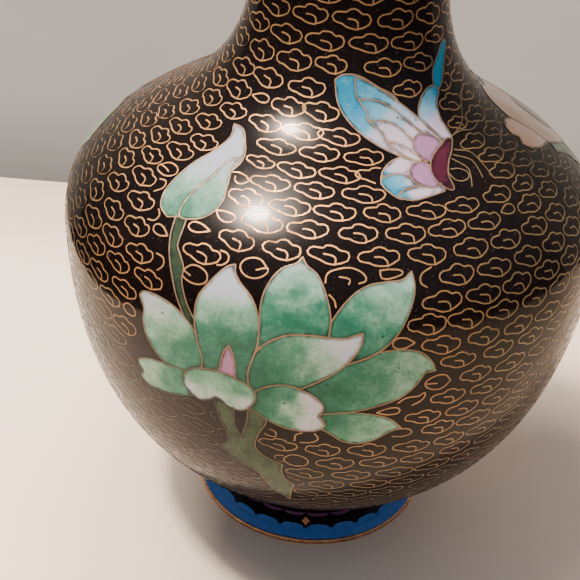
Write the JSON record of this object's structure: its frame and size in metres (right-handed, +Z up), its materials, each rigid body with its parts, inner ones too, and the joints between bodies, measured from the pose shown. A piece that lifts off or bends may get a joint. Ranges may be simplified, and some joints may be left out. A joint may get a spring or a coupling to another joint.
{
  "type": "cloisonne vase",
  "caption": "Round-bodied vase with a narrow flaring neck on a low ring foot, copper enamelled inside and out with wire-walled flower and insect motifs.",
  "frame": {"origin": "centre of the foot's underside, on the surface the vase stands on", "axes": "+Z up along the vase's axis; -Y is the front, where the lotus motif is"},
  "size_m": [0.126, 0.1259, 0.2068],
  "materials": {
    "copper": "satin copper",
    "gilt": "worn gilt",
    "wire": "polished gilt copper wire",
    "black_enamel": "polished enamel",
    "blue_enamel": "polished enamel",
    "counter_enamel": "fired enamel, unpolished",
    "green_enamel": "polished enamel, shaded to pale green",
    "pale_green_enamel": "polished enamel, mottled",
    "white_green_enamel": "polished enamel, white shaded to green",
    "lilac_enamel": "polished enamel, lilac white",
    "leaf_enamel": "polished enamel, olive green",
    "mauve_enamel": "polished enamel",
    "cyan_enamel": "polished enamel",
    "wine_enamel": "polished enamel",
    "peach_enamel": "polished enamel, peach shaded to cream"
  },
  "bodies": {
    "root": {"lower_body_copper": "copper", "shoulder_copper": "copper", "neck_copper": "copper", "base_plate": "copper", "foot_ring": "gilt", "mouth_ring": "gilt", "mouth_border_wire": "gilt", "lotus_wires": "wire", "butterfly_wires": "wire", "peony_wires": "wire", "ground_enamel": "black_enamel", "lotus_fork_ground": "black_enamel", "foot_black_enamel": "black_enamel", "mouth_black_enamel": "black_enamel", "foot_blue_enamel": "blue_enamel", "mouth_blue_enamel": "blue_enamel", "lining_enamel": "counter_enamel", "base_enamel": "counter_enamel", "lotus_small_petal": "green_enamel", "lotus_top_petal": "green_enamel", "lotus_upper_right_petal": "green_enamel", "lotus_right_petal": "green_enamel", "lotus_bean_petal": "pale_green_enamel", "bud_right_sepal": "pale_green_enamel", "lotus_notched_petal": "white_green_enamel", "lotus_curled_petal": "white_green_enamel", "lotus_tall_petal": "white_green_enamel", "lotus_low_petal": "white_green_enamel", "lotus_left_petal": "white_green_enamel", "bud_left_sepal": "white_green_enamel", "fore_wing_lower_cell": "lilac_enamel", "fore_wing_upper_cell": "lilac_enamel", "fore_wing_top_cell": "lilac_enamel", "hind_wing_middle_cell": "lilac_enamel", "butterfly_far_wing": "lilac_enamel", "lotus_stem": "leaf_enamel", "bud_stem": "leaf_enamel", "peony_stem": "leaf_enamel", "peony_near_leaf": "leaf_enamel", "peony_far_leaf": "leaf_enamel", "peony_back_leaf": "leaf_enamel", "lotus_pistil": "mauve_enamel", "butterfly_upper_disc": "mauve_enamel", "butterfly_lower_disc": "mauve_enamel", "fore_wing_low_cell": "cyan_enamel", "fore_wing_band": "cyan_enamel", "hind_wing_upper_cell": "cyan_enamel", "hind_wing_lower_cell": "cyan_enamel", "butterfly_tail": "cyan_enamel", "butterfly_body": "wine_enamel", "peony_heart": "wine_enamel", "peony_left_petal": "peach_enamel", "peony_upper_petal": "peach_enamel", "peony_right_petal": "peach_enamel", "peony_lower_petal": "peach_enamel", "second_bloom_heart": "peach_enamel", "second_bloom_left_petal": "peach_enamel", "second_bloom_right_petal": "peach_enamel"}
  },
  "joints": []
}
